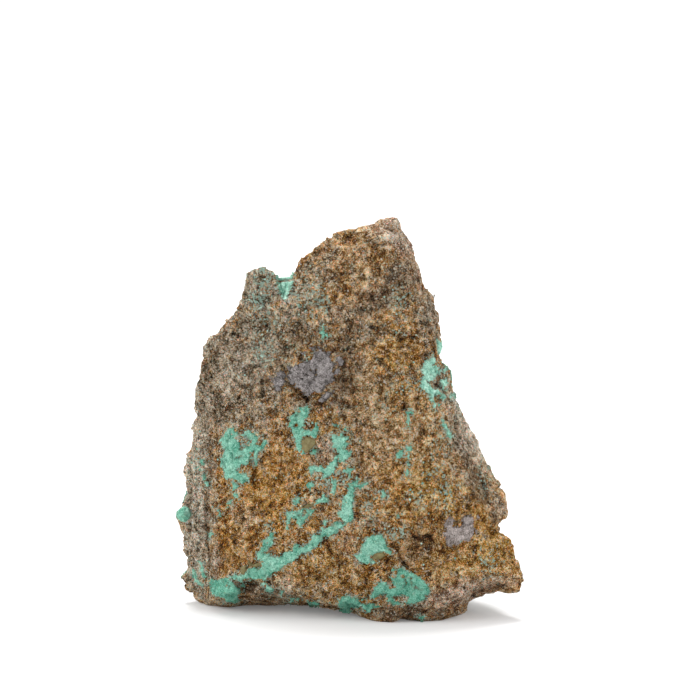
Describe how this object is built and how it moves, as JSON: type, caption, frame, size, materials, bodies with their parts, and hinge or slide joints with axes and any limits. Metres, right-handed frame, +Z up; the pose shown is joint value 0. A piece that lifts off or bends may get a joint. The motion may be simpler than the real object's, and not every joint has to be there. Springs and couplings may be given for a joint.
{
  "type": "ajoite specimen",
  "caption": "Rough broken piece of rust-brown rock with blue-green ajoite crusts and veins and two grey crusts, standing upright on its own uneven base for display",
  "frame": {"origin": "middle of the base on the ground, under the centre of the bounding box", "axes": "+Z up as it stands, +X to the viewer's right across the broad face, +Y away from the viewer through the thickness"},
  "size_m": [0.0694, 0.0344, 0.0798],
  "materials": {
    "matrix": "rough, granular, rust-stained rock",
    "ajoite": "dull blue-green mineral crust",
    "grey_crust": "dull lilac-grey mineral crust"
  },
  "bodies": {
    "root": {"stone": "matrix"}
  },
  "joints": []
}
